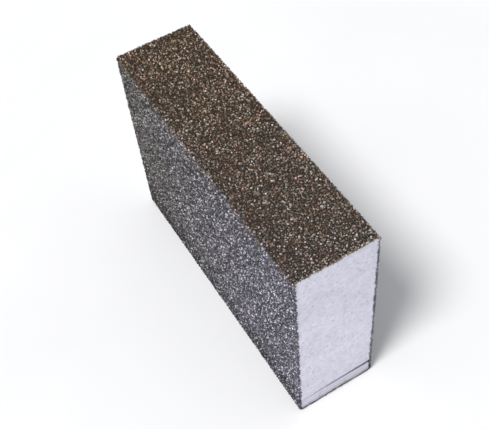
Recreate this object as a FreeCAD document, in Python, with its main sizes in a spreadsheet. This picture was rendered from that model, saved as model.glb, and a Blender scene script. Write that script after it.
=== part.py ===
"""Four-sided sanding block: a foam core with a resin bond and a grit coat on each of its four long faces.

The block stands on one long narrow edge. X runs along its length, Y through its thickness and Z up, and the
origin is the middle of the face that it rests on. All sizes are in millimetres.
"""
import FreeCAD, Part
import math
import os
import Sketcher

SIZES = {
    "block_length": 98.0,
    "block_height": 69.0,
    "block_depth": 26.0,
    "edge_radius": 1.0,
    "grit_layer": 0.35,
    "bond_layer": 0.2,
    "mitre_angle": 45.0,
}
# Sizes that follow from those, as the formulas that the sketches are bound to.
OUTER_RADIUS = "Sizes.edge_radius"
BOND_RADIUS = "Sizes.edge_radius - Sizes.grit_layer"
CORE_RADIUS = "Sizes.edge_radius - Sizes.grit_layer - Sizes.bond_layer"
CORE_DEPTH = "Sizes.block_depth - 2 * (Sizes.grit_layer + Sizes.bond_layer)"
CORE_HEIGHT = "Sizes.block_height - 2 * (Sizes.grit_layer + Sizes.bond_layer)"
DEPTH_TO_EDGE = "Sizes.block_depth / 2 - Sizes.edge_radius"
HEIGHT_TO_EDGE = "Sizes.block_height / 2 - Sizes.edge_radius"
MIDDLE_HEIGHT = "Sizes.block_height / 2"

# Each coated face: how far it is turned about X from the top, its half-width between the rounded edges, and the
# distance from the middle of the block to the centres of those edges.
FACES = {
    "top_edge": (0.0, DEPTH_TO_EDGE, HEIGHT_TO_EDGE),
    "left_face": (90.0, HEIGHT_TO_EDGE, DEPTH_TO_EDGE),
    "bottom_edge": (180.0, DEPTH_TO_EDGE, HEIGHT_TO_EDGE),
    "right_face": (270.0, HEIGHT_TO_EDGE, DEPTH_TO_EDGE),
}
# Each coat on a face: its inner and outer radius round the long edges.
COATS = {
    "bond": (CORE_RADIUS, BOND_RADIUS),
    "grit": (BOND_RADIUS, OUTER_RADIUS),
}
START, END, CENTRE = 1, 2, 3
ORIGIN = (-1, START)
Y_AXIS = -2
SQUARE_TURN = 90.0
# A long edge's direction has an X part of 1, and any other edge's has 0.
LONG_EDGE_SLOPE = 0.5


def make_sheet(doc):
    """The driving dimensions, one alias a row."""
    sheet = doc.addObject("Spreadsheet::Sheet", "Sizes")
    for row, (alias, value) in enumerate(SIZES.items(), start=1):
        sheet.set(f"A{row}", alias)
        sheet.set(f"B{row}", str(value))
        sheet.setAlias(f"B{row}", alias)
    doc.recompute()
    return sheet


def section_sketch(body):
    """An empty sketch on the body's own YZ plane: sketch x is Y, and sketch y is Z."""
    plane = next(f for f in body.Origin.OriginFeatures if f.Role == "YZ_Plane")
    sketch = body.newObject("Sketcher::SketchObject", f"{body.Name}_section")
    sketch.AttachmentSupport = (plane, [""])
    sketch.MapMode = "FlatFace"
    return sketch


def constrain(sketch, rules):
    for rule in rules:
        sketch.addConstraint(Sketcher.Constraint(*rule))


def bind(sketch, name, formula, kind, *where):
    """Adds a named dimension to a sketch, and binds it to a formula of the sheet's cells."""
    value = sketch.evalExpression(formula)
    index = sketch.addConstraint(Sketcher.Constraint(kind, *where, value))
    sketch.renameConstraint(index, name)
    sketch.setExpression(f"Constraints.{name}", formula)


def pad_along_length(body, sketch):
    """Pads a section both ways from the middle of the block."""
    pad = body.newObject("PartDesign::Pad", f"{body.Name}_pad")
    pad.Profile = sketch
    pad.SideType = "Symmetric"
    pad.setExpression("Length", "Sizes.block_length")
    body.Tip = pad
    return pad


def stand_up(body, turn):
    """Turns a body about X, and lifts the middle of its section to half the block's height."""
    lift = FreeCAD.Vector(0, 0, body.evalExpression(MIDDLE_HEIGHT))
    body.Placement = FreeCAD.Placement(lift, FreeCAD.Rotation(FreeCAD.Vector(1, 0, 0), turn))
    body.setExpression("Placement.Base.z", MIDDLE_HEIGHT)


def foam_core(doc):
    """The bare foam: a rectangular bar whose long edges are rounded, with both ends cut square."""
    body = doc.addObject("PartDesign::Body", "foam_core")
    body.Label = "foam_core"
    sketch = section_sketch(body)
    half_y = sketch.evalExpression(CORE_DEPTH) / 2
    half_z = sketch.evalExpression(CORE_HEIGHT) / 2
    corners = [(-half_y, -half_z), (half_y, -half_z), (half_y, half_z), (-half_y, half_z)]
    points = [FreeCAD.Vector(y, z, 0) for y, z in corners]
    for start, end in zip(points, points[1:] + points[:1]):
        sketch.addGeometry(Part.LineSegment(start, end))
    for side in range(4):
        following = (side + 1) % 4
        direction = "Vertical" if side % 2 else "Horizontal"
        constrain(sketch, [("Coincident", side, END, following, START), (direction, side)])
    constrain(sketch, [("Symmetric", 0, START, 2, START, *ORIGIN)])
    bind(sketch, "depth", CORE_DEPTH, "DistanceX", 0, START, 0, END)
    bind(sketch, "height", CORE_HEIGHT, "DistanceY", 1, START, 1, END)
    pad = pad_along_length(body, sketch)
    doc.recompute()
    long_edges = [
        f"Edge{number}"
        for number, edge in enumerate(pad.Shape.Edges, start=1)
        if abs(edge.tangentAt(edge.FirstParameter).x) > LONG_EDGE_SLOPE
    ]
    rounding = body.newObject("PartDesign::Fillet", "foam_core_long_edges")
    rounding.Base = (pad, long_edges)
    rounding.setExpression("Radius", CORE_RADIUS)
    body.Tip = rounding
    stand_up(body, 0.0)
    return body


def coat(doc, face, layer):
    """One coat of one face: a thin plate that follows half of each rounded edge and meets its neighbours there.

    The section is drawn as for the top face. An outer line runs to the right edge's outer arc, a mitre leads in
    to its inner arc, and the inner line runs back to the same three at the left edge.
    """
    turn, reach, rise = FACES[face]
    inner, outer = COATS[layer]
    body = doc.addObject("PartDesign::Body", f"{face}_{layer}")
    body.Label = f"{face}_{layer}"
    sketch = section_sketch(body)
    centre_x, centre_y, inner_radius, outer_radius, mitre_angle = (
        sketch.evalExpression(formula) for formula in (reach, rise, inner, outer, "Sizes.mitre_angle")
    )

    def point(side, radius, angle):
        """A point on the right (1) or left (-1) rounded edge, at an angle up from the outward horizontal."""
        along = radius * math.cos(math.radians(angle))
        up = radius * math.sin(math.radians(angle))
        return FreeCAD.Vector(side * (centre_x + along), centre_y + up, 0)

    def line(start, end):
        return sketch.addGeometry(Part.LineSegment(start, end))

    def arc(side, radius):
        """From the mitre up to the flat on the right, and from the flat down to the mitre on the left."""
        angles = [mitre_angle, (mitre_angle + SQUARE_TURN) / 2, SQUARE_TURN][::side]
        return sketch.addGeometry(Part.Arc(*(point(side, radius, angle) for angle in angles)))

    def mitre(side):
        return line(point(side, inner_radius, mitre_angle), point(side, outer_radius, mitre_angle))

    outer_line = line(point(-1, outer_radius, SQUARE_TURN), point(1, outer_radius, SQUARE_TURN))
    inner_line = line(point(1, inner_radius, SQUARE_TURN), point(-1, inner_radius, SQUARE_TURN))
    right_outer, right_inner, right_mitre = arc(1, outer_radius), arc(1, inner_radius), mitre(1)
    left_outer, left_inner, left_mitre = arc(-1, outer_radius), arc(-1, inner_radius), mitre(-1)
    constrain(sketch, [
        ("Horizontal", outer_line),
        ("Tangent", outer_line, END, right_outer, END),
        ("Coincident", right_outer, START, right_mitre, END),
        ("Coincident", right_mitre, START, right_inner, START),
        ("Tangent", right_inner, END, inner_line, START),
        ("Tangent", inner_line, END, left_inner, START),
        ("Coincident", left_inner, END, left_mitre, START),
        ("Coincident", left_mitre, END, left_outer, END),
        ("Tangent", left_outer, START, outer_line, START),
        ("Coincident", right_inner, CENTRE, right_outer, CENTRE),
        ("Coincident", left_inner, CENTRE, left_outer, CENTRE),
        ("Equal", right_outer, left_outer),
        ("Equal", right_inner, left_inner),
        ("PointOnObject", right_outer, CENTRE, right_mitre),
        ("PointOnObject", left_outer, CENTRE, left_mitre),
        ("Symmetric", right_mitre, END, left_mitre, END, Y_AXIS),
    ])
    bind(sketch, "outer_radius", outer, "Radius", right_outer)
    bind(sketch, "inner_radius", inner, "Radius", right_inner)
    bind(sketch, "reach", reach, "DistanceX", *ORIGIN, right_outer, CENTRE)
    bind(sketch, "rise", rise, "DistanceY", *ORIGIN, right_outer, CENTRE)
    bind(sketch, "mitre", "Sizes.mitre_angle * 1 deg", "Angle", right_mitre)
    pad_along_length(body, sketch)
    stand_up(body, turn)
    return body


def check(doc, bodies):
    """Stops at any object that failed to build, any section that isn't fully set, or any unsound shape."""
    for item in doc.Objects:
        if {"Invalid", "Error"} & set(item.State):
            raise RuntimeError(f"{item.Label} did not build: {item.State}")
        if item.TypeId == "Sketcher::SketchObject" and not item.FullyConstrained:
            raise RuntimeError(f"{item.Label} is not fully constrained")
    for body in bodies:
        shape = body.Shape
        if shape.isNull() or not shape.isValid() or len(shape.Solids) != 1:
            raise RuntimeError(f"{body.Label} is not one sound solid")
        box = shape.BoundBox
        lowest = f"{box.XMin:.2f} {box.YMin:.2f} {box.ZMin:.2f}"
        highest = f"{box.XMax:.2f} {box.YMax:.2f} {box.ZMax:.2f}"
        print(f"{body.Label:17s} {shape.Volume:9.1f} mm3 from {lowest} to {highest}")


def main():
    doc = FreeCAD.newDocument("sanding_block")
    make_sheet(doc)
    bodies = [foam_core(doc)]
    bodies += [coat(doc, face, layer) for face in FACES for layer in COATS]
    doc.recompute()
    check(doc, bodies)
    os.makedirs("parts", exist_ok=True)
    for body in bodies:
        body.Shape.exportStep(f"parts/{body.Label}.step")


main()
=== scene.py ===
"""The looks of a four-sided sanding block: porous foam, resin film and separate abrasive grains.

The block stands on a long narrow edge. X runs along it to the scored end in front, Y runs through its
thickness to the right face, and Z is up. Each coated face is worked on in its own flat coordinates: "along"
is X, "across" is the distance over the face and half-way round its rounded edges, and "height" is the
distance out from the resin film. Metres throughout.
"""
import math

import bpy
import numpy as np
from mathutils import Matrix, Vector


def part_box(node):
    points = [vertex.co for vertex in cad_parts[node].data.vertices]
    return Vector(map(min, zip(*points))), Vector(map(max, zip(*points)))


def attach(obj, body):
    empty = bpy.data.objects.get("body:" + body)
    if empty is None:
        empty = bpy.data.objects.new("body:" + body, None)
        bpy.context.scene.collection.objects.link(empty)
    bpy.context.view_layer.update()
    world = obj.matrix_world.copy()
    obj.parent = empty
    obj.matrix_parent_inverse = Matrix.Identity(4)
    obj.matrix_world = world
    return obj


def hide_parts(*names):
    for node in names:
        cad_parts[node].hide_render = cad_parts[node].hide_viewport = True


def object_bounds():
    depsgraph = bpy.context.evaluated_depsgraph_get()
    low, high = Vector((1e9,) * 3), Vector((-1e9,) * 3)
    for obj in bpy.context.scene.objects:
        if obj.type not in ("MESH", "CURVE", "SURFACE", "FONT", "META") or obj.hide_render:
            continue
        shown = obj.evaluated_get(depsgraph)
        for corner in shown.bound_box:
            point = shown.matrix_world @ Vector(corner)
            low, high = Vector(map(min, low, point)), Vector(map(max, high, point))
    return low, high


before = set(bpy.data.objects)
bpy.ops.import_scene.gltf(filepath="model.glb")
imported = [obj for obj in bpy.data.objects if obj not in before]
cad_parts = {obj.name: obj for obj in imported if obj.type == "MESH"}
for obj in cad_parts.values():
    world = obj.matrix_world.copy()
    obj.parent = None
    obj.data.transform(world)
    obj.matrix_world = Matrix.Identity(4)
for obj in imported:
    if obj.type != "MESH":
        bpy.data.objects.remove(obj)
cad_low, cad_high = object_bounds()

MM = 0.001
MITRE = math.radians(45)
SEED = 7

# The faces, with how far each is turned about X from the top.
FACE_TURNS = {"top_edge": 0, "left_face": 90, "bottom_edge": 180, "right_face": 270}

# Grains lie on a shaken triangular grid. A pair is a range, except that GRAIN_SIZES shapes a beta
# distribution. Jitter is a share of the spacing, tips and skew are shares of the radius, and sink is the
# share of a grain's height that is under the resin.
GRAIN_SPACING = 0.66 * MM
ROW_SPACING = GRAIN_SPACING * math.sin(math.radians(60))
GRAIN_JITTER = 0.36
GRAIN_RADIUS = (0.23 * MM, 0.49 * MM)
GRAIN_SIZES = (2.0, 2.5)
GRAIN_TIPS = (0.75, 1.2)
GRAIN_SKEW = 0.28
GRAIN_STRETCH = (0.75, 1.15)
GRAIN_SINK = 0.42

# Grains torn loose where the coat was cut. They are set back from the cut by a share of their own reach.
TORN_SPACING = 0.22 * MM
TORN_HEIGHT = (-0.55 * MM, 0.15 * MM)
TORN_SETBACK = (0.2, 1.0)

# The resin film, rippled outside, and soaked into the foam by up to FILM_SOAK at its ends.
FILM_STEP_ALONG = 1.5 * MM
FILM_STEP_ACROSS = 0.5 * MM
FILM_RIPPLE = 0.03 * MM
FILM_SOAK = 0.22 * MM

# The foam's cut ends lie CUT_RECESS behind the grit's, and so do the film's. PORE_SIZES shapes a beta
# distribution, and a pore as deep as DARK_PORE would get as much painted shade as the score.
FOAM_STEP = 0.19 * MM
CUT_RECESS = 0.15 * MM
PORES_PER_END = 1900
PORE_RADIUS = (0.15 * MM, 0.46 * MM)
PORE_SIZES = (1.2, 4.0)
PORE_ASPECT = 0.5
DARK_PORE = 0.72 * MM
FOAM_GRAIN = 0.004 * MM
FOAM_SWELL = 0.03 * MM
SWELL_CELL = 9 * MM
SWELL_WAVES = 24
SWELL_PITCHES = (0.7, 1.6)

# The knife score low on the front end. SCORE_TAPER is its width at the left as a share of that at the right.
SCORE_HEIGHT = 5.6 * MM
SCORE_HALF_WIDTH = 0.9 * MM
SCORE_TAPER = 0.4
SCORE_STEEPNESS = 2.5
SCORE_DEPTH = 0.25 * MM

# The margins of the flat maps, as shares of a map's side.
FACE_MARGIN = 0.01
END_MARGIN = 0.02
BAKE_MAP = "OFBake"
# How much painted shade each point of the foam gets, from 0 on its skin to 1 deep in the score.
HOLLOW_SHADE = "hollow"

# The camera looks at the middle of the block, from this bearing and distance.
CAMERA_AZIMUTH = 64.65
CAMERA_ELEVATION = 51.77
CAMERA_DISTANCE = 0.2617
CAMERA_ROLL = -7.0
CAMERA_LENS = 63.5
CAMERA_NEAR = 0.01

# The key light's bearing is measured as the camera's is. The sky's strength goes from SKY_LOW at the horizon
# to SKY_HIGH, and the floor turns into the low sky between the two distances of FLOOR_FADE.
KEY_AZIMUTH = 18
KEY_ELEVATION = 60
KEY_DISTANCE = 6.0
KEY_SIZE = 1.9
KEY_WATTS = 287.0
SKY_TINT = (0.95, 0.96, 1.0)
SKY_LOW, SKY_HIGH = 0.80, 0.50
SKY_FADE = 0.4
FLOOR_SIZE = 8.0
FLOOR_FADE = (0.6, 3.2)

# A shard's own random number is stretched, shifted by a channel and hashed, which gives one number per use.
ISLAND_STRETCH = 1000.0
CHANNEL_SHIFT = 7.3
SHADE, TINT, GLOSS, STRAY, SHADED_FOOT = 1, 2, 3, 4, 5

# Patterns, in repeats to the metre.
PATCH_SCALE = 90
SPOT_SCALE = 260
MOTTLE_SCALE = 650
FILM_SCALE = 1800
CELL_SCALE = 1900
FLOOR_SCALE = 12

# Brown grit strays over the top edges on to the wide faces, and their grains carry painted shade near the
# floor, most of all towards the back end. A share is the part of the grains that strays at the very top, or
# carries the painted shade at the very foot. FRONT_CALM is how far the shades are drawn in towards their
# average at the front end.
STRAY_REACH = 5.0 * MM
STRAY_SHARE = 0.75
FRONT_CALM = 0.2
FOOT_REACH = 12.0 * MM
FOOT_SHARE = 0.73
BACK_FOOT_REACH = 18.0 * MM
BACK_FOOT_SHARE = 0.95

# Linear colours, or plain brightnesses, with their places on a ramp. A shard has one shade and one tint.
# "Across" goes from left to right, "foot" and "upward" go up from the floor, and "lengthwise" goes from the
# back end to the front one. The lengthwise ramps are painted light, warmer at the back and brighter and
# bluer at the front.
EDGE_SHADES = [
    (0.00, (0.018, 0.011, 0.007)),
    (0.22, (0.073, 0.050, 0.034)),
    (0.58, (0.188, 0.141, 0.101)),
    (0.84, (0.310, 0.270, 0.233)),
    (0.95, (0.470, 0.442, 0.418)),
    (1.00, (0.755, 0.742, 0.738)),
]
EDGE_TINTS = [(0.0, (1.18, 0.92, 0.80)), (0.5, (1.00, 1.00, 1.00)), (1.0, (0.88, 1.04, 0.98))]
EDGE_PATCHES = [(0.3, (0.84, 0.82, 0.80)), (0.7, (1.14, 1.10, 1.06))]
EDGE_SPOTS = [(0.35, (0.88, 0.93, 0.90)), (0.65, (1.13, 1.06, 1.05))]
# Painted shade on the left of the narrow edges and painted light towards their right.
EDGE_ACROSS_LIGHT = [(0.04, 0.83), (0.16, 0.95), (0.45, 1.04), (0.90, 1.12)]
# Painted shade at the foot of the edge grit, darkest at the floor.
EDGE_FOOT_SHADE = [(0.0, (0.60, 0.61, 0.64)), (1.0, (1.00, 1.00, 1.00))]
EDGE_LENGTHWISE_LIGHT = [(0.0, (1.03, 0.95, 0.83)), (1.0, (1.10, 1.13, 1.26))]
EDGE_RESIN = [(0.3, (0.012, 0.008, 0.006)), (0.7, (0.048, 0.034, 0.025))]
FACE_SHADES = [
    (0.00, (0.003, 0.003, 0.004)),
    (0.22, (0.020, 0.020, 0.022)),
    (0.50, (0.098, 0.096, 0.102)),
    (0.80, (0.280, 0.275, 0.292)),
    (0.94, (0.560, 0.550, 0.580)),
    (1.00, (0.950, 0.930, 0.970)),
]
FACE_TINTS = [(0.0, (1.10, 0.96, 0.98)), (0.5, (1.00, 1.00, 1.00)), (1.0, (0.90, 1.02, 1.06))]
FACE_PATCHES = [(0.3, (0.88, 0.87, 0.88)), (0.7, (1.10, 1.10, 1.12))]
# The colour of the painted shade on the wide faces' grains near the floor.
FACE_FOOT_SHADE = (0.10, 0.10, 0.11, 1)
FACE_LENGTHWISE_LIGHT = [(0.0, (0.715, 0.67, 0.56)), (1.0, (1.07, 1.065, 1.19))]
FACE_RESIN = [(0.3, (0.004, 0.004, 0.005)), (0.7, (0.024, 0.023, 0.026))]
FOAM_PATCHES = [(0.35, (0.688, 0.680, 0.783)), (0.65, (0.748, 0.740, 0.850))]
FOAM_MOTTLE = [(0.35, 0.93), (0.65, 1.04)]
# Painted shade in the foam's fine bumped pits, darkest at their middles.
FOAM_PIT_SHADE = [(0.0, 0.90), (0.40, 1.0)]
FOAM_UPWARD = [(0.1, 1.0), (0.35, 1.03), (1.0, 0.97)]
FOAM_ACROSS = [(0.0, 1.02), (1.0, 0.98)]
# Painted contact shadow along the foam's foot, darkest just above the floor.
FOAM_FOOT_SHADE = [
    (0.12, (0.54, 0.54, 0.53)),
    (0.45, (0.88, 0.88, 0.87)),
    (0.80, (0.93, 0.93, 0.93)),
    (1.00, (1.00, 1.00, 1.00)),
]
# Painted shade in the foam's pores and knife score, darkest deep in the score.
FOAM_HOLLOW_SHADE = [(0.0, (1.0, 1.0, 1.0)), (1.0, (0.12, 0.12, 0.14))]
FLOOR_SHADES = [(0.4, 0.86), (0.6, 0.88)]

GRAIN_ROUGHNESS = (0.25, 0.6)
RESIN_ROUGHNESS = (0.3, 0.6)
FOAM_ROUGHNESS = (0.95, 0.8)
FOAM_BUMP = 0.08 * MM


# ---------------------------------------------------------------- geometry of the coated faces

class Face:
    """One coated long face of the block, read from the frame's boxes.

    Seen along X, the face is flat for "reach" to each side of its middle. The centres of its rounded edges
    are "rise" out from the block's middle, and the resin film goes round them at "film_radius".
    """

    def __init__(self, name):
        self.name = name
        turn = math.radians(FACE_TURNS[name])
        self.outward = np.array([-math.sin(turn), math.cos(turn)])
        self.sideways = np.array([math.cos(turn), math.sin(turn)])
        half_depth, half_height = (cad_high.y - cad_low.y) / 2, (cad_high.z - cad_low.z) / 2
        self.middle = np.array([0.0, (cad_low.z + cad_high.z) / 2])
        edge_gap = half_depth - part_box("top_edge_grit")[1][1]
        edge_radius = edge_gap / (1 - math.cos(MITRE))
        self.grit_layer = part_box("top_edge_grit")[1][2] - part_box("top_edge_bond")[1][2]
        self.film_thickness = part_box("top_edge_bond")[1][2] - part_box("foam_core")[1][2]
        self.film_radius = edge_radius - self.grit_layer
        narrow = "edge" in name
        self.reach = (half_depth if narrow else half_height) - edge_radius
        self.rise = (half_height if narrow else half_depth) - edge_radius
        self.half_length = (cad_high.x - cad_low.x) / 2
        self.half_across = self.reach + self.film_radius * MITRE

    def place(self, along, across, height):
        """Points over the face, as an array with one row of x, y and z for each."""
        flat = np.clip(across, -self.reach, self.reach)
        angle = (across - flat) / self.film_radius
        radius = self.film_radius + height
        aside = flat + radius * np.sin(angle)
        out = self.rise + radius * np.cos(angle)
        yz = self.middle + aside[:, None] * self.sideways + out[:, None] * self.outward
        return np.column_stack([along, yz])

    def layout(self, along, across):
        """The same points' place in the unit square, for a flat map of the face."""
        half_side = 0.5 - FACE_MARGIN
        return np.column_stack([
            0.5 + half_side * along / self.half_length,
            0.5 + half_side * across / (self.half_across + GRAIN_RADIUS[1]),
        ])


def flat_grid(rows, columns):
    """Every pair of a row's value and a column's value, as two flat arrays, row by row."""
    return [values.ravel() for values in np.meshgrid(rows, columns, indexing="ij")]


def grid_quads(rows, columns):
    """Corner numbers of each square of a grid whose points are numbered row by row."""
    corner = (np.arange(rows - 1)[:, None] * columns + np.arange(columns - 1)).ravel()
    return np.column_stack([corner, corner + columns, corner + columns + 1, corner + 1])


def border_wall(rows, columns):
    """Squares that join the outlines of two like grids. The second grid's numbers follow the first's."""
    number = np.arange(rows * columns).reshape(rows, columns)
    rim = np.concatenate([number[0, :-1], number[:-1, -1], number[-1, :0:-1], number[:0:-1, 0]])
    following = np.roll(rim, -1)
    return np.column_stack([rim, following, following + rows * columns, rim + rows * columns])


def mesh_object(name, points, faces, layout):
    """A flat-shaded object. Its faces have as many corners each, and each point has one place on its map."""
    sides = faces.shape[1]
    mesh = bpy.data.meshes.new(name)
    mesh.vertices.add(len(points))
    mesh.vertices.foreach_set("co", points.astype(np.float32).ravel())
    mesh.loops.add(faces.size)
    mesh.loops.foreach_set("vertex_index", faces.astype(np.int32).ravel())
    mesh.polygons.add(len(faces))
    mesh.polygons.foreach_set("loop_start", np.arange(0, faces.size, sides, dtype=np.int32))
    mesh.update(calc_edges=True)
    mesh.validate()
    uv = mesh.uv_layers.new(name=BAKE_MAP)
    uv.data.foreach_set("uv", layout[faces.ravel()].astype(np.float32).ravel())
    piece = bpy.data.objects.new(name, mesh)
    bpy.context.scene.collection.objects.link(piece)
    return piece


def dress(piece, material, node):
    """Gives a piece its material and its body, and hides the CAD node that it stands for."""
    piece.data.materials.append(material)
    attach(piece, "root")
    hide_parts(node)


# ---------------------------------------------------------------- the coats

def random_turns(count, rng):
    """Evenly spread random rotation matrices."""
    quaternion = rng.normal(size=(count, 4))
    w, x, y, z = (quaternion / np.linalg.norm(quaternion, axis=1, keepdims=True)).T
    return np.stack([
        np.stack([1 - 2 * (y * y + z * z), 2 * (x * y - z * w), 2 * (x * z + y * w)], -1),
        np.stack([2 * (x * y + z * w), 1 - 2 * (x * x + z * z), 2 * (y * z - x * w)], -1),
        np.stack([2 * (x * z - y * w), 2 * (y * z + x * w), 1 - 2 * (x * x + y * y)], -1),
    ], 1)


def between(limits, share):
    """The value at a share of the way between two limits."""
    return limits[0] + (limits[1] - limits[0]) * share


def grain_centres(face, rng):
    """A staggered grid over the face, shaken so that no rows show."""
    rows = int(2 * face.half_across / ROW_SPACING)
    columns = int(2 * face.half_length / GRAIN_SPACING)
    across = (np.arange(rows) + 0.5) / rows * 2 - 1
    along = (np.arange(columns) + 0.5) / columns * 2 - 1
    across, along = flat_grid(across * face.half_across, along * face.half_length)
    stagger = np.repeat(np.arange(rows) % 2, columns) * GRAIN_SPACING / 2
    shake = rng.uniform(-GRAIN_JITTER, GRAIN_JITTER, (2, rows * columns)) * GRAIN_SPACING
    return along + stagger - GRAIN_SPACING / 4 + shake[0], across + shake[1]


def torn_centres(face, rng):
    """Where torn grains lie, along both ends of the face and a little way down each cut."""
    count = int(2 * face.half_across / TORN_SPACING)
    across = rng.uniform(-face.half_across, face.half_across, 2 * count)
    along = np.repeat([-face.half_length, face.half_length], count)
    return along, across, rng.uniform(*TORN_HEIGHT, 2 * count)


def shard_points(radius, rng):
    """The six tips of each shard round its own centre, uneven, stretched and turned at random."""
    count = len(radius)
    tips = np.array([[1, 0, 0], [-1, 0, 0], [0, 1, 0], [0, -1, 0], [0, 0, 1], [0, 0, -1]], float)
    shard = tips * rng.uniform(*GRAIN_TIPS, (count, 6, 1))
    shard += rng.uniform(-GRAIN_SKEW, GRAIN_SKEW, (count, 6, 3))
    shard *= rng.uniform(*GRAIN_STRETCH, (count, 1, 3))
    return np.einsum("nij,nkj->nki", random_turns(count, rng), shard) * radius[:, None, None]


def grit_coat(face, material, rng):
    """Thousands of eight-sided shards, partly sunk in the resin, with torn ones at the ends."""
    along, across = grain_centres(face, rng)
    torn_along, torn_across, torn_height = torn_centres(face, rng)
    laid, count = len(along), len(along) + len(torn_along)
    along, across = np.append(along, torn_along), np.append(across, torn_across)
    radius = between(GRAIN_RADIUS, rng.beta(*GRAIN_SIZES, count))
    shard = shard_points(radius, rng)
    lift = radius * (1 - 2 * GRAIN_SINK)
    lift[laid:] = torn_height
    lift = np.minimum(lift, face.grit_layer - shard[:, :, 2].max(1))
    setback = np.abs(shard[laid:, :, 0]).max(1) * rng.uniform(*TORN_SETBACK, count - laid)
    along[laid:] -= np.sign(along[laid:]) * setback
    x = np.clip((along[:, None] + shard[:, :, 0]).ravel(), -face.half_length, face.half_length)
    over = (across[:, None] + shard[:, :, 1]).ravel()
    height = (lift[:, None] + shard[:, :, 2]).ravel()
    octahedron = np.array([[0, 2, 4], [2, 1, 4], [1, 3, 4], [3, 0, 4],
                           [2, 0, 5], [1, 2, 5], [3, 1, 5], [0, 3, 5]])
    faces = (np.arange(count)[:, None, None] * 6 + octahedron).reshape(-1, 3)
    piece = mesh_object(f"{face.name}_grains", face.place(x, over, height), faces, face.layout(x, over))
    dress(piece, material, f"{face.name}_grit")


def resin_film(face, material, rng):
    """The resin that holds the grains: a closed film, rippled outside and soaked unevenly into the foam."""
    rows = int(2 * face.half_across / FILM_STEP_ACROSS) + 1
    columns = int(2 * face.half_length / FILM_STEP_ALONG) + 1
    end = face.half_length - CUT_RECESS
    across, along = flat_grid(np.linspace(-face.half_across, face.half_across, rows),
                              np.linspace(-end, end, columns))
    outside = face.place(along, across, rng.uniform(-FILM_RIPPLE, FILM_RIPPLE, rows * columns))
    soak = np.zeros((rows, columns))
    soak[:, [0, -1]] = FILM_SOAK * rng.uniform(0, 1, (rows, 2))
    inside = face.place(along, across, -face.film_thickness - soak.ravel())
    skin = grid_quads(rows, columns)
    faces = np.vstack([skin[:, ::-1], skin + rows * columns, border_wall(rows, columns)])
    place = face.layout(along, across)
    piece = mesh_object(f"{face.name}_resin", np.vstack([outside, inside]), faces, np.vstack([place, place]))
    dress(piece, material, f"{face.name}_bond")


# ---------------------------------------------------------------- the foam core

def soft_noise(y, z, rng):
    """A smooth random field of about unit height, whose waves are about SWELL_CELL long."""
    total = np.zeros_like(y)
    for _ in range(SWELL_WAVES):
        heading = rng.uniform(0, 2 * math.pi)
        pitch = 2 * math.pi / (SWELL_CELL * rng.uniform(*SWELL_PITCHES))
        start = rng.uniform(0, 2 * math.pi)
        total += np.sin(pitch * (y * math.cos(heading) + z * math.sin(heading)) + start)
    return total / math.sqrt(SWELL_WAVES / 2)


def pore_depths(ys, zs, rng):
    """How deep each point of an end face lies in a cut-open foam cell."""
    depth = np.zeros((len(zs), len(ys)))
    radii = between(PORE_RADIUS, rng.beta(*PORE_SIZES, PORES_PER_END))
    for radius, y, z in zip(radii, rng.uniform(ys[0], ys[-1], PORES_PER_END),
                            rng.uniform(zs[0], zs[-1], PORES_PER_END)):
        left, right = np.searchsorted(ys, [y - radius, y + radius])
        low, high = np.searchsorted(zs, [z - radius, z + radius])
        far = np.hypot(ys[left:right] - y, (zs[low:high] - z)[:, None]) / radius
        bowl = PORE_ASPECT * radius * np.sqrt(np.clip(1 - far * far, 0, 1))
        depth[low:high, left:right] = np.maximum(depth[low:high, left:right], bowl)
    return depth.ravel()


def score_share(y, z, low, high):
    """How much of each point lies in the knife score, which is deepest and widest at the right."""
    reached = (y - low.y) / (high.y - low.y)
    half_width = SCORE_HALF_WIDTH * (SCORE_TAPER + (1 - SCORE_TAPER) * reached)
    off = np.abs(z - cad_low.z - SCORE_HEIGHT) / half_width
    return np.sqrt(reached) * np.clip(SCORE_STEEPNESS * (1 - off), 0, 1)


def round_corners(y, z, low, high):
    """Points of a square-cornered rectangle, drawn in at its corners to fit the rounded ones."""
    corner = high.y - Face("top_edge").reach
    middle = (low.z + high.z) / 2
    past_y = np.clip(np.abs(y) - (high.y - corner), 0, None)
    past_z = np.clip(np.abs(z - middle) - (high.z - middle - corner), 0, None)
    longest = np.hypot(past_y, past_z)
    shrink = np.where(longest > 0, np.maximum(past_y, past_z) / np.where(longest > 0, longest, 1), 1)
    round_y = np.sign(y) * (np.abs(y) - past_y + past_y * shrink)
    round_z = middle + np.sign(z - middle) * (np.abs(z - middle) - past_z + past_z * shrink)
    return round_y, round_z


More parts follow.
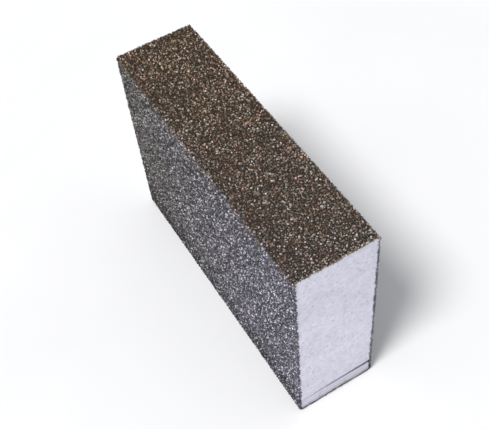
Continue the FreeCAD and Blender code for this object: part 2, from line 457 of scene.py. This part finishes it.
def foam_core(material, rng):
    """The foam bar. Its two cut ends have open pores; its long sides lie under the resin."""
    low, high = (Vector(corner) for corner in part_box("foam_core"))
    ys = np.linspace(low.y, high.y, int((high.y - low.y) / FOAM_STEP) + 1)
    zs = np.linspace(low.z, high.z, int((high.z - low.z) / FOAM_STEP) + 1)
    z, y = flat_grid(zs, ys)
    round_y, round_z = round_corners(y, z, low, high)
    ends, hollow_shades = [], []
    for end in (high.x, low.x):
        # The noise seldom passes 2, so the swell falls back from the cut and hardly ever rises past it.
        swell = FOAM_SWELL * (soft_noise(y, z, rng) - 2) / 2
        grain = FOAM_GRAIN * rng.normal(size=len(y))
        pores = pore_depths(ys, zs, rng)
        score = score_share(y, z, low, high) if end > 0 else np.zeros(len(y))
        relief = np.minimum(0, swell + grain - CUT_RECESS) - pores - SCORE_DEPTH * score
        ends.append(np.column_stack([end + math.copysign(1, end) * relief, round_y, round_z]))
        # Painted shade in the pores and the score, more for deeper hollows.
        hollow_shades.append(np.clip(pores / DARK_PORE + score, 0, 1))
    skin = grid_quads(len(zs), len(ys))
    wall = border_wall(len(zs), len(ys))
    faces = np.vstack([skin[:, ::-1], skin + len(y), wall[:, ::-1]])
    # The front end's map is in the left half of the square, and the back end's in the right half.
    place = np.column_stack([
        END_MARGIN + (0.5 - 2 * END_MARGIN) * (y - ys[0]) / (ys[-1] - ys[0]),
        END_MARGIN + (1 - 2 * END_MARGIN) * (z - zs[0]) / (zs[-1] - zs[0]),
    ])
    piece = mesh_object("foam_block", np.vstack(ends), faces, np.vstack([place, place + [0.5, 0]]))
    piece.data.shade_smooth()
    piece.data.attributes.new(HOLLOW_SHADE, "FLOAT", "POINT").data.foreach_set("value", np.concatenate(hollow_shades))
    dress(piece, material, "foam_core")


# ---------------------------------------------------------------- nodes

def new_material(name, **sockets):
    """A material with one Principled shader, with the given values set on its own sockets."""
    material = bpy.data.materials.new(name)
    material.use_nodes = True
    shader = material.node_tree.nodes["Principled BSDF"]
    for socket, value in sockets.items():
        shader.inputs[socket.replace("_", " ")].default_value = value
    return material, material.node_tree, shader


def add(tree, kind, **settings):
    """A new node; a setting is an input's value where the node has an input of that name."""
    node = tree.nodes.new(f"ShaderNode{kind}")
    for name, value in settings.items():
        label = name.replace("_", " ")
        if label in node.inputs:
            node.inputs[label].default_value = value
        else:
            setattr(node, name, value)
    return node


def ramp(tree, source, stops):
    """A ramp over a value, from a list of position and colour, or of position and brightness."""
    node = add(tree, "ValToRGB")
    elements = node.color_ramp.elements
    while len(elements) < len(stops):
        elements.new(0.5)
    for element, (position, colour) in zip(elements, stops):
        element.position = position
        element.color = (*colour, 1) if isinstance(colour, tuple) else (colour, colour, colour, 1)
    tree.links.new(source, node.inputs[0])
    return node.outputs["Color"]


def blend(tree, how, factor, first, second):
    """Mixes two colours. The factor and the colours are sockets or plain values."""
    node = add(tree, "Mix", data_type="RGBA", blend_type=how)
    sockets = {socket.identifier: socket for socket in node.inputs}
    for label, value in (("Factor_Float", factor), ("A_Color", first), ("B_Color", second)):
        if isinstance(value, bpy.types.NodeSocket):
            tree.links.new(value, sockets[label])
        else:
            sockets[label].default_value = value
    return next(socket for socket in node.outputs if socket.identifier == "Result_Color")


def product(tree, first, *others):
    """Colours multiplied together."""
    for other in others:
        first = blend(tree, "MULTIPLY", 1.0, first, other)
    return first


def spread(tree, source, low, high):
    """Stretches a value from 0..1 to low..high."""
    node = add(tree, "MapRange", To_Min=low, To_Max=high)
    tree.links.new(source, node.inputs["Value"])
    return node.outputs["Result"]


def noise(tree, scale, detail=4.0):
    """Soft random patches in the block's own coordinates."""
    place = add(tree, "TexCoord")
    node = add(tree, "TexNoise", Scale=scale, Detail=detail)
    tree.links.new(place.outputs["Object"], node.inputs["Vector"])
    return node.outputs["Fac"]


def along_axis(tree, axis, low, high):
    """0 up to one place along an axis of the block and 1 past the other, with a straight slope between."""
    place = add(tree, "TexCoord")
    split = add(tree, "SeparateXYZ")
    tree.links.new(place.outputs["Object"], split.inputs[0])
    node = add(tree, "MapRange", From_Min=low, From_Max=high)
    tree.links.new(split.outputs[axis], node.inputs["Value"])
    return node.outputs["Result"]


def from_back(tree):
    """0 at the back end and 1 at the front end."""
    return along_axis(tree, "X", cad_low.x, cad_high.x)


def from_left(tree):
    """0 at the left face and 1 at the right face."""
    return along_axis(tree, "Y", cad_low.y, cad_high.y)


def from_floor(tree, reach):
    """0 at the floor and 1 from a given height up."""
    return along_axis(tree, "Z", cad_low.z, cad_low.z + reach)


# ---------------------------------------------------------------- materials

def own_random(tree, channel):
    """A random number that is the same all over one shard, and differs from channel to channel."""
    island = add(tree, "NewGeometry").outputs["Random Per Island"]
    scaled = add(tree, "Math", operation="MULTIPLY_ADD")
    tree.links.new(island, scaled.inputs[0])
    scaled.inputs[1].default_value = ISLAND_STRETCH
    scaled.inputs[2].default_value = channel * CHANNEL_SHIFT
    white = add(tree, "TexWhiteNoise", noise_dimensions="1D")
    tree.links.new(scaled.outputs[0], white.inputs["W"])
    return white.outputs["Value"]


def chosen(tree, channel, share):
    """1 on a random share of the shards and 0 on the rest."""
    test = add(tree, "Math", operation="LESS_THAN")
    tree.links.new(own_random(tree, channel), test.inputs[0])
    tree.links.new(share, test.inputs[1])
    return test.outputs[0]


def mean_shade(stops):
    """The average colour of a ramp."""
    total = np.zeros(3)
    for (start, first), (end, second) in zip(stops, stops[1:]):
        total += (end - start) * (np.array(first) + np.array(second)) / 2
    return total


def shard_colour(tree, stops, tints):
    """A shard's own shade and tint, drawn apart, and drawn in towards the average over the front half."""
    shade = ramp(tree, own_random(tree, SHADE), stops)
    own = product(tree, shade, ramp(tree, own_random(tree, TINT), tints))
    calm = spread(tree, along_axis(tree, "X", 0.0, cad_high.x), 0.0, FRONT_CALM)
    return blend(tree, "MIX", calm, own, (*mean_shade(stops), 1))


def grain_material(name):
    """Abrasive grain under a thin clear resin, with each shard's own gloss."""
    material, tree, shader = new_material(name, IOR=1.4, Coat_Weight=0.1, Coat_Roughness=0.15)
    tree.links.new(spread(tree, own_random(tree, GLOSS), *GRAIN_ROUGHNESS), shader.inputs["Roughness"])
    return material, tree, shader


def edge_grit_material():
    """The brown grit of the narrow edges, with tan and near-white shards, in reddish and olive patches."""
    material, tree, shader = grain_material("edge_grit")
    own = shard_colour(tree, EDGE_SHADES, EDGE_TINTS)
    patches = ramp(tree, noise(tree, PATCH_SCALE), EDGE_PATCHES)
    spots = ramp(tree, noise(tree, SPOT_SCALE, detail=2.0), EDGE_SPOTS)
    # Painted shade at the left, painted light towards the right.
    across_light = ramp(tree, from_left(tree), EDGE_ACROSS_LIGHT)
    # Painted shade towards the floor.
    foot = ramp(tree, from_floor(tree, FOOT_REACH), EDGE_FOOT_SHADE)
    # Painted light, growing brighter and bluer towards the front end.
    lengthwise_light = ramp(tree, from_back(tree), EDGE_LENGTHWISE_LIGHT)
    colour = product(tree, own, patches, spots, across_light, foot, lengthwise_light)
    tree.links.new(colour, shader.inputs["Base Color"])
    return material


def face_grit_material():
    """The charcoal grit of the wide faces, with strays of brown at the top and painted shade on grains at
    the foot.
    """
    material, tree, shader = grain_material("face_grit")
    grey = shard_colour(tree, FACE_SHADES, FACE_TINTS)
    brown = shard_colour(tree, EDGE_SHADES, EDGE_TINTS)
    near_top = along_axis(tree, "Z", cad_high.z - STRAY_REACH, cad_high.z)
    stray = chosen(tree, STRAY, spread(tree, near_top, 0.0, STRAY_SHARE))
    mixed = blend(tree, "MIX", stray, grey, brown)
    mottled = product(tree, mixed, ramp(tree, noise(tree, PATCH_SCALE), FACE_PATCHES))
    # Painted shade near the floor: a share of the grains is darkened, most of all towards the back end.
    front_share = spread(tree, from_floor(tree, FOOT_REACH), FOOT_SHARE, 0.0)
    back_share = spread(tree, from_floor(tree, BACK_FOOT_REACH), BACK_FOOT_SHARE, 0.0)
    forward = along_axis(tree, "X", cad_low.x, 0.0)
    foot_shaded = chosen(tree, SHADED_FOOT, blend(tree, "MIX", forward, back_share, front_share))
    darker = blend(tree, "MULTIPLY", foot_shaded, mottled, FACE_FOOT_SHADE)
    # Painted light, growing brighter and bluer towards the front end.
    lengthwise_light = ramp(tree, from_back(tree), FACE_LENGTHWISE_LIGHT)
    tree.links.new(product(tree, darker, lengthwise_light), shader.inputs["Base Color"])
    return material


def resin_material(name, shades):
    """Tinted resin with a satin skin, uneven in shade."""
    material, tree, shader = new_material(name, IOR=1.35)
    fine = noise(tree, FILM_SCALE)
    tree.links.new(ramp(tree, fine, shades), shader.inputs["Base Color"])
    tree.links.new(spread(tree, fine, *RESIN_ROUGHNESS), shader.inputs["Roughness"])
    return material


def foam_material():
    """Pale matt foam: mottled and finely pitted, with painted shade in its pits, its pores and score, and at
    its foot.
    """
    material, tree, shader = new_material("foam", IOR=1.4)
    place = add(tree, "TexCoord")
    cells = add(tree, "TexVoronoi", Scale=CELL_SCALE)
    tree.links.new(place.outputs["Object"], cells.inputs["Vector"])
    pits = cells.outputs["Distance"]
    depth = add(tree, "Attribute", attribute_name=HOLLOW_SHADE)
    colour = product(
        tree,
        ramp(tree, noise(tree, PATCH_SCALE), FOAM_PATCHES),
        ramp(tree, noise(tree, MOTTLE_SCALE, detail=3.0), FOAM_MOTTLE),
        # Painted shade in the fine pits.
        ramp(tree, pits, FOAM_PIT_SHADE),
        ramp(tree, from_floor(tree, cad_high.z - cad_low.z), FOAM_UPWARD),
        ramp(tree, from_left(tree), FOAM_ACROSS),
        # Painted contact shadow at the foot.
        ramp(tree, from_floor(tree, SCORE_HEIGHT), FOAM_FOOT_SHADE),
        # Painted shade inside the pores and the score.
        ramp(tree, depth.outputs["Fac"], FOAM_HOLLOW_SHADE),
    )
    tree.links.new(colour, shader.inputs["Base Color"])
    bump = add(tree, "Bump", Strength=0.2, Distance=FOAM_BUMP)
    tree.links.new(pits, bump.inputs["Height"])
    tree.links.new(bump.outputs["Normal"], shader.inputs["Normal"])
    tree.links.new(spread(tree, pits, *FOAM_ROUGHNESS), shader.inputs["Roughness"])
    return material


# ---------------------------------------------------------------- stage, lights and camera

def floor_material():
    """Plain and pale, and fading into the brightness of the low sky far from the block."""
    material, tree, shader = new_material("pale_floor", Roughness=0.7)
    tree.links.new(ramp(tree, noise(tree, FLOOR_SCALE), FLOOR_SHADES), shader.inputs["Base Color"])
    place = add(tree, "TexCoord")
    far = add(tree, "VectorMath", operation="LENGTH")
    tree.links.new(place.outputs["Object"], far.inputs[0])
    fade = add(tree, "MapRange", From_Min=FLOOR_FADE[0], From_Max=FLOOR_FADE[1])
    tree.links.new(far.outputs["Value"], fade.inputs["Value"])
    glow = add(tree, "Emission", Color=(*SKY_TINT, 1), Strength=SKY_LOW)
    both = add(tree, "MixShader")
    tree.links.new(fade.outputs["Result"], both.inputs[0])
    tree.links.new(shader.outputs["BSDF"], both.inputs[1])
    tree.links.new(glow.outputs["Emission"], both.inputs[2])
    tree.links.new(both.outputs["Shader"], tree.nodes["Material Output"].inputs["Surface"])
    return material


def stand():
    """The floor that the block stands on."""
    bpy.ops.mesh.primitive_plane_add(size=FLOOR_SIZE, location=(0, 0, cad_low.z))
    floor = bpy.context.object
    floor.name = "floor"
    floor.data.materials.append(floor_material())


def bearing(azimuth, elevation):
    """The unit vector from the block towards a viewer."""
    turn, rise = math.radians(azimuth), math.radians(elevation)
    return Vector((math.sin(turn) * math.cos(rise), -math.cos(turn) * math.cos(rise), math.sin(rise)))


def key_light(target):
    """A round soft light above the block, which the camera doesn't see."""
    light = bpy.data.lights.new("key", "AREA")
    light.shape = "DISK"
    light.size = KEY_SIZE
    light.energy = KEY_WATTS
    lamp = bpy.data.objects.new("key", light)
    lamp.location = target + bearing(KEY_AZIMUTH, KEY_ELEVATION) * KEY_DISTANCE
    lamp.rotation_euler = (target - lamp.location).to_track_quat("-Z", "Y").to_euler()
    lamp.visible_camera = False
    bpy.context.scene.collection.objects.link(lamp)


def sky():
    """A pale room that is brightest near the horizon."""
    world = bpy.data.worlds.new("studio")
    world.use_nodes = True
    tree = world.node_tree
    background = tree.nodes["Background"]
    background.inputs["Color"].default_value = (*SKY_TINT, 1)
    place = add(tree, "TexCoord")
    split = add(tree, "SeparateXYZ")
    tree.links.new(place.outputs["Generated"], split.inputs[0])
    fade = add(tree, "MapRange", From_Min=0.0, From_Max=SKY_FADE, To_Min=SKY_LOW, To_Max=SKY_HIGH)
    tree.links.new(split.outputs["Z"], fade.inputs["Value"])
    tree.links.new(fade.outputs["Result"], background.inputs["Strength"])
    bpy.context.scene.world = world


def camera(target):
    """A view down on to the front end, the left face and the upper edge."""
    back = bearing(CAMERA_AZIMUTH, CAMERA_ELEVATION)
    lens = bpy.data.cameras.new("camera")
    lens.lens = CAMERA_LENS
    lens.clip_start = CAMERA_NEAR
    eye = bpy.data.objects.new("camera", lens)
    aim = (-back).to_track_quat("-Z", "Y").to_matrix().to_4x4()
    eye.matrix_world = (Matrix.Translation(target + back * CAMERA_DISTANCE) @ aim
                        @ Matrix.Rotation(math.radians(CAMERA_ROLL), 4, "Z"))
    bpy.context.scene.collection.objects.link(eye)
    bpy.context.scene.camera = eye


def main():
    """Makes the nine pieces, and then the stage, the lights and the camera."""
    rng = np.random.default_rng(SEED)
    foam_core(foam_material(), rng)
    coats = {
        "edge": (resin_material("edge_resin", EDGE_RESIN), edge_grit_material()),
        "face": (resin_material("face_resin", FACE_RESIN), face_grit_material()),
    }
    for name in FACE_TURNS:
        resin, grit = coats[name.split("_")[1]]
        face = Face(name)
        resin_film(face, resin, rng)
        grit_coat(face, grit, rng)
    stand()
    centre = (cad_low + cad_high) / 2
    sky()
    key_light(centre)
    camera(centre)
    bpy.context.scene.view_settings.view_transform = "Standard"


main()
